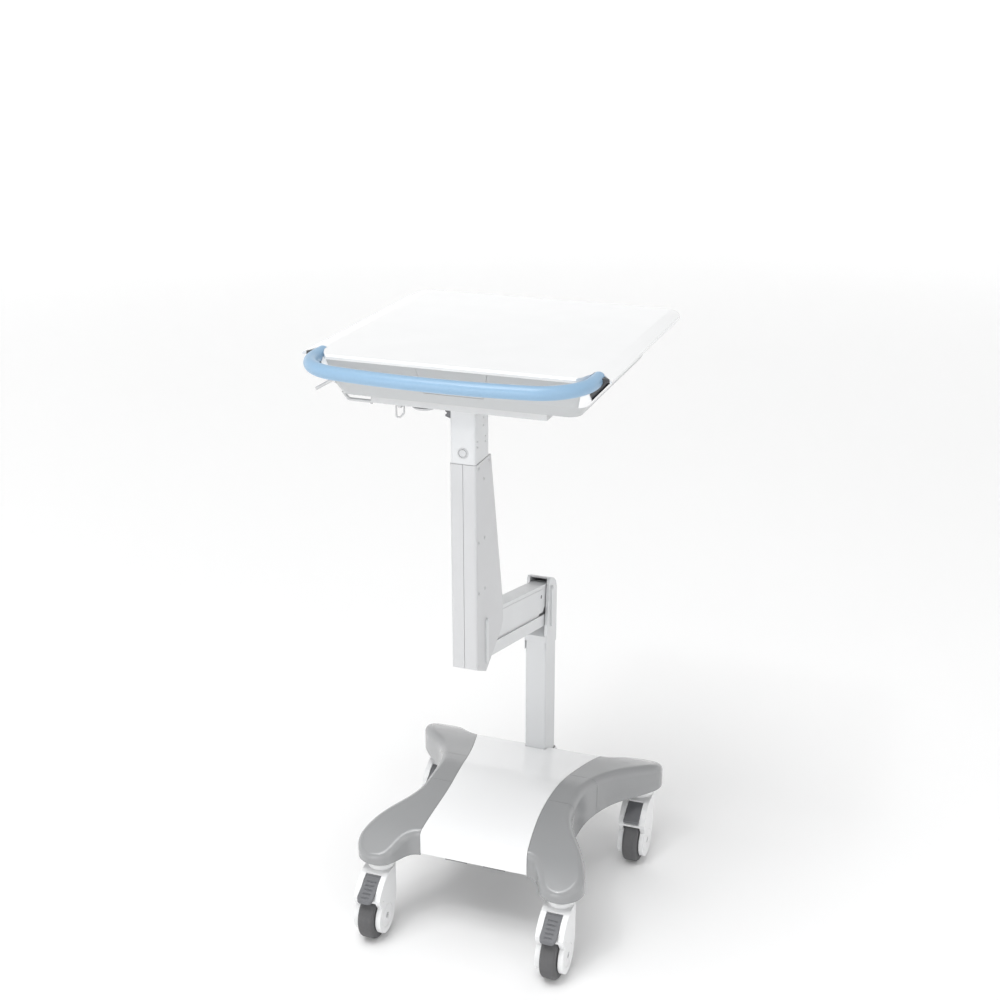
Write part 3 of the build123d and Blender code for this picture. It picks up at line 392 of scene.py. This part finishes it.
def build_button_bezel():
    """Stepped ring round the release button on the post's face."""
    low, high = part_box("post_button")
    radius = (high.x - low.x) / 2 / MM
    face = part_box("deck_post")[0].y
    center = Vector(((low.x + high.x) / 2, face, (low.z + high.z) / 2))
    profile = [(radius + 3.4, 0.0), (radius + 3.2, -0.7), (radius + 2.5, -1.1), (radius + 1.7, -1.0),
               (radius + 1.25, -0.4), (radius + 1.25, 0.0)]
    turned_ring("button_bezel", center, "Y", profile, "deck", "silver_plastic")


def build_axle_caps():
    """A cap ring and a socket bolt on both ends of every wheel axle."""
    for place in ("front_left", "front_right", "rear_left", "rear_right"):
        low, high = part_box(place + "_caster_housing")
        hub_low, hub_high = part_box(place + "_wheel_hub")
        hub = (hub_low + hub_high) / 2
        for side, x, sign in (("left", low.x, -1), ("right", high.x, 1)):
            center = Vector((x, hub.y, hub.z))
            profile = [(11.5, -0.2 * sign), (11.4, 0.35 * sign), (10.6, 0.6 * sign), (7.4, 0.6 * sign),
                       (6.9, 0.3 * sign), (6.9, -0.2 * sign)]
            turned_ring(f"{place}_axle_cap_{side}", center, "X", profile, place + "_caster", "caster_plastic")
            socket_screw(f"{place}_axle_bolt_{side}", center + Vector((-0.4 * MM * sign, 0, 0)), "X", sign,
                         AXLE_BOLT_R, place + "_caster")


build_mast_mouth_shade()
build_column_seal()
build_plate_screws()
build_rail_collar()
build_button_bezel()
build_axle_caps()


# ---------------------------------------------------------------- studio

# The backdrop, in metres: radius of the flat floor, radius of its upward curve, height of the wall.
# WALL_GLOW and SKY are strengths, and SWEEP_SIDES counts the points round the floor.
FLOOR_R = 6.5
CURVE_R = 2.0
WALL_TOP = 3.2
WALL_GLOW = 0.15
SKY = 0.6
SWEEP_SIDES = 96


def studio_sweep():
    """Round floor that curves up into a low wall, so that every side has the same pale backdrop."""
    profile = [(0.02, 0.0), (3.0, 0.0), (FLOOR_R, 0.0)]
    for i in range(1, 13):
        turn = (pi / 2) * i / 12
        profile.append((FLOOR_R + CURVE_R * sin(turn), CURVE_R - CURVE_R * cos(turn)))
    profile.append((FLOOR_R + CURVE_R, WALL_TOP))
    mesh = bmesh.new()
    rows = []
    for radius, height in profile:
        loop = circle(Vector((0, 0, height)), Vector((1, 0, 0)), Vector((0, 1, 0)), radius, SWEEP_SIDES)
        rows.append([mesh.verts.new(point) for point in loop])
    for low, high in zip(rows, rows[1:]):
        for i in range(SWEEP_SIDES):
            j = (i + 1) % SWEEP_SIDES
            mesh.faces.new((low[i], low[j], high[j], high[i]))
    mesh.faces.new(rows[0])
    bmesh.ops.recalc_face_normals(mesh, faces=mesh.faces)
    data = bpy.data.meshes.new("studio_floor")
    mesh.to_mesh(data)
    mesh.free()
    for face in data.polygons:
        face.use_smooth = True
    floor = bpy.data.objects.new("studio_floor", data)
    bpy.context.scene.collection.objects.link(floor)
    g = Graph("studio_floor")
    tint = g.mix(g.noise(0.7, 2.0), (0.955, 0.955, 0.955, 1.0), (0.975, 0.975, 0.975, 1.0))
    g.link(tint, g.shader.inputs["Base Color"])
    g.shader.inputs["Roughness"].default_value = 0.7
    g.shader.inputs["Specular IOR Level"].default_value = 0.15
    # The backdrop glows a little away from the cart, so that it stays white far from the lights.
    reach = g.add("ShaderNodeVectorMath", operation="LENGTH")
    g.link(g.place, reach.inputs[0])
    g.link(g.span(reach.outputs["Value"], 1.5, 7.5, 0.0, WALL_GLOW), g.shader.inputs["Emission Strength"])
    g.shader.inputs["Emission Color"].default_value = (1.0, 1.0, 1.0, 1.0)
    data.materials.append(g.material)


def area_light(name, place, target, size, power):
    """A rectangular lamp at place, turned to face target, with its power in watts."""
    light = bpy.data.lights.new(name, "AREA")
    light.shape = "RECTANGLE"
    light.size, light.size_y = size
    light.energy = power
    lamp = bpy.data.objects.new(name, light)
    lamp.location = place
    lamp.rotation_euler = (Vector(target) - Vector(place)).to_track_quat("-Z", "Y").to_euler()
    bpy.context.scene.collection.objects.link(lamp)


def studio_light():
    """White sky, a wide soft key above, a small lamp for crisp highlights, and fills in front and right."""
    world = bpy.data.worlds.new("studio_world")
    world.use_nodes = True
    background = world.node_tree.nodes["Background"]
    background.inputs["Color"].default_value = (1.0, 1.0, 1.0, 1.0)
    background.inputs["Strength"].default_value = SKY
    bpy.context.scene.world = world
    area_light("key", (-1.0, -2.6, 8.2), (0.0, 0.0, 0.7), (4.8, 4.8), 310)
    area_light("glint", (-0.9, -2.4, 4.6), (0.0, 0.0, 0.5), (0.35, 0.35), 14)
    area_light("front", (-1.2, -5.2, 1.6), (0.0, 0.0, 0.7), (2.6, 2.2), 36)
    area_light("strip", (3.4, -2.6, 3.0), (0.0, 0.0, 0.5), (0.7, 2.6), 14)


# The photograph's viewpoint in the CAD frame, in metres and degrees.
CAMERA_PLACE = Vector((0.9343, -2.5338, 1.8790))
AZIMUTH, ELEVATION, ROLL = 20.061, 20.283, -0.076
LENS = 55.34


def camera():
    """Camera built from its viewing angle: back points from the cart to the lens."""
    azimuth, elevation, roll = radians(AZIMUTH), radians(ELEVATION), radians(ROLL)
    back = Vector((sin(azimuth) * cos(elevation), -cos(azimuth) * cos(elevation), sin(elevation)))
    right = Vector((cos(azimuth), sin(azimuth), 0))
    up = back.cross(right)
    across = right * cos(roll) + up * sin(roll)
    upward = up * cos(roll) - right * sin(roll)
    lens = bpy.data.cameras.new("camera")
    lens.sensor_width = 36.0
    lens.lens = LENS
    eye = bpy.data.objects.new("camera", lens)
    turn = Matrix((across, upward, back)).transposed()
    eye.matrix_world = Matrix.Translation(CAMERA_PLACE) @ turn.to_4x4()
    bpy.context.scene.collection.objects.link(eye)
    bpy.context.scene.camera = eye


studio_sweep()
studio_light()
camera()
bpy.context.scene.view_settings.view_transform = "Standard"
